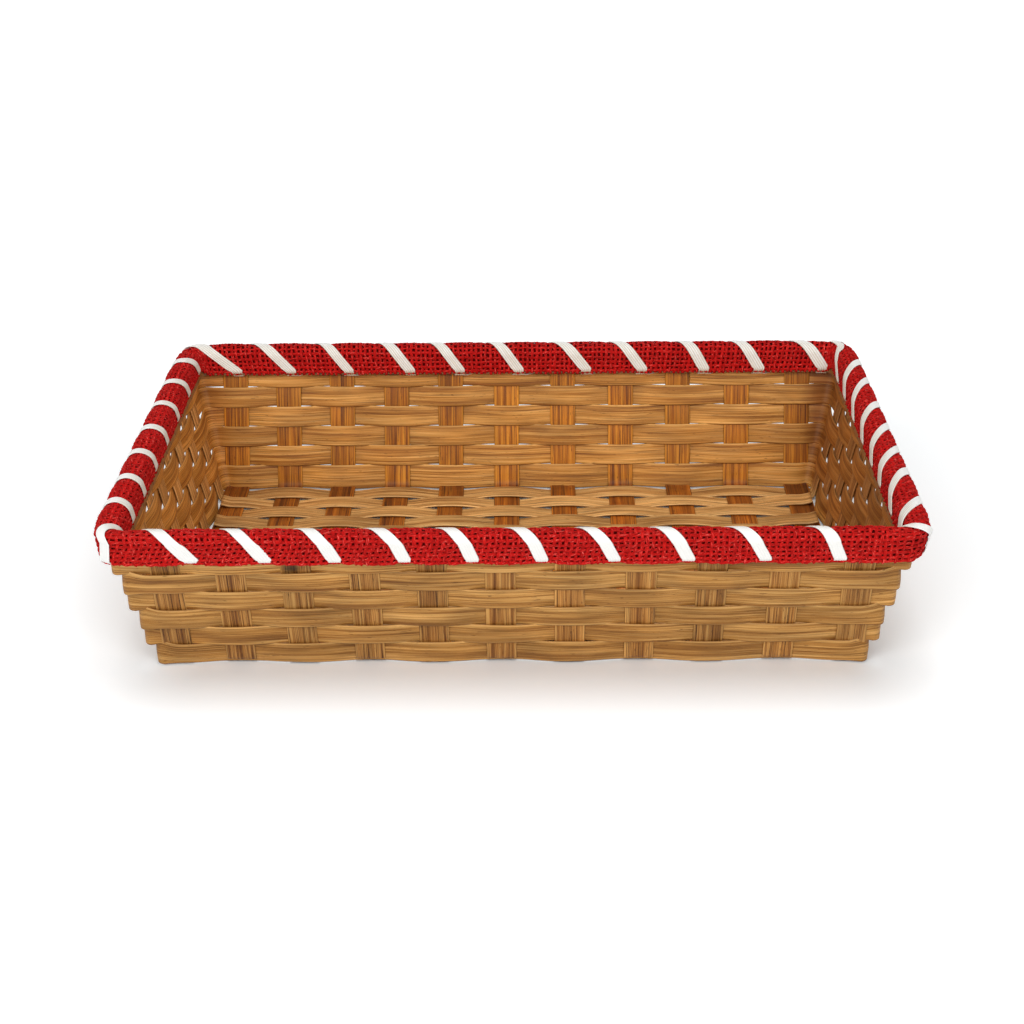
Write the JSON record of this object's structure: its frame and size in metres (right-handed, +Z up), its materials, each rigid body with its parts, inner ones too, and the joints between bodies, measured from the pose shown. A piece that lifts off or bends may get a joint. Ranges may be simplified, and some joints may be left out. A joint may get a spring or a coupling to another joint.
{
  "type": "woven bamboo tray",
  "caption": "Shallow rectangular tray woven from flat bamboo splints, with leaning walls and a rim bound in coarse red cloth and wound with a white lace.",
  "frame": {"origin": "on the ground under the middle of the tray", "axes": "+X along the long side to the viewer's right, +Y away from the viewer, +Z up"},
  "size_m": [0.3612, 0.2518, 0.076],
  "materials": {
    "stake_bamboo": "bare bamboo splint with fine dark lengthwise lines, satin",
    "filler_bamboo": "bare bamboo splint, satin",
    "weaver_bamboo": "bare golden tan bamboo splint with long grain, satin",
    "hoop_bamboo": "bare bamboo band",
    "burlap": "coarse open plain-weave burlap, dyed red, matte",
    "lacing": "flat white strand lace with fine lengthwise grooves, matte"
  },
  "bodies": {
    "root": {"long_stake_01": "stake_bamboo", "long_stake_02": "stake_bamboo", "long_stake_03": "stake_bamboo", "long_stake_04": "stake_bamboo", "long_stake_05": "stake_bamboo", "long_stake_06": "stake_bamboo", "long_stake_07": "stake_bamboo", "long_stake_08": "stake_bamboo", "long_stake_09": "stake_bamboo", "long_stake_10": "stake_bamboo", "long_stake_11": "stake_bamboo", "cross_stake_1": "stake_bamboo", "cross_stake_2": "stake_bamboo", "cross_stake_3": "stake_bamboo", "cross_stake_4": "stake_bamboo", "cross_stake_5": "stake_bamboo", "cross_stake_6": "stake_bamboo", "cross_stake_7": "stake_bamboo", "cross_stake_8": "stake_bamboo", "floor_filler_1": "filler_bamboo", "floor_filler_2": "filler_bamboo", "floor_filler_3": "filler_bamboo", "floor_filler_4": "filler_bamboo", "floor_filler_5": "filler_bamboo", "floor_filler_6": "filler_bamboo", "floor_filler_7": "filler_bamboo", "weaver_row_1": "weaver_bamboo", "weaver_row_2": "weaver_bamboo", "weaver_row_3": "weaver_bamboo", "weaver_row_4": "weaver_bamboo", "weaver_row_5": "weaver_bamboo", "weaver_row_6": "weaver_bamboo", "weaver_under_rim": "weaver_bamboo", "outer_rim_hoop": "hoop_bamboo", "inner_rim_hoop": "hoop_bamboo", "burlap_binding": "burlap", "rim_lacing": "lacing"}
  },
  "joints": []
}
